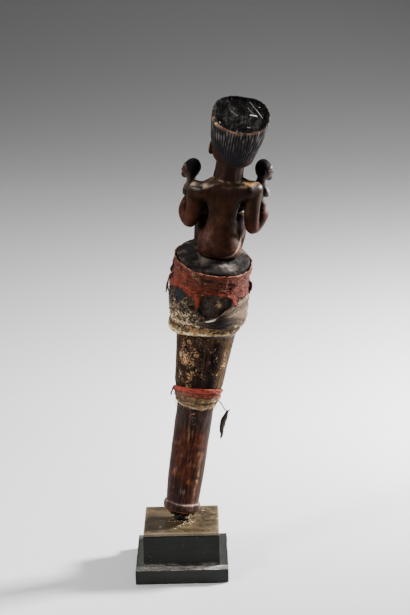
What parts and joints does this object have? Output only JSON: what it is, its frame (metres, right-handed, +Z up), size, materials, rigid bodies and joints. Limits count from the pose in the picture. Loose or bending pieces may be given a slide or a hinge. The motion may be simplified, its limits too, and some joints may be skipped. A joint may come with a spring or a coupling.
{
  "type": "dance wand",
  "caption": "Carved dark wooden dance wand: a seated mother with children above a cloth-wrapped drum, tapering handle, upright on a block stand.",
  "frame": {"origin": "middle of the underside of the plinth, on the surface it stands on", "axes": "+Z up along the wand's height, +Y the way the mother faces, +X to her right"},
  "size_m": [0.1551, 0.112, 0.5147],
  "materials": {
    "carved_wand": "dark oiled patina, semi-gloss",
    "base_wrap": "crusted old cloth, matt",
    "brown_sash": "worn striped cloth, matt",
    "red_band": "worn red cloth, matt",
    "lower_red_band": "worn red cloth, matt",
    "lower_brown_band": "frayed brown cloth, matt",
    "pod_thread": "twisted dark thread, matt",
    "seed_pod": "dried dark pod, low sheen",
    "steel_rod": "plain dark steel",
    "cap_slab": "aged brown metal plate, rubbed",
    "stand_block": "painted black, satin",
    "stand_plinth": "painted black, satin"
  },
  "bodies": {
    "root": {"carved_wand": "carved_wand", "base_wrap": "base_wrap", "brown_sash": "brown_sash", "red_band": "red_band", "lower_red_band": "lower_red_band", "lower_brown_band": "lower_brown_band", "pod_thread": "pod_thread", "seed_pod": "seed_pod", "steel_rod": "steel_rod", "cap_slab": "cap_slab", "stand_block": "stand_block", "stand_plinth": "stand_plinth"}
  },
  "joints": []
}
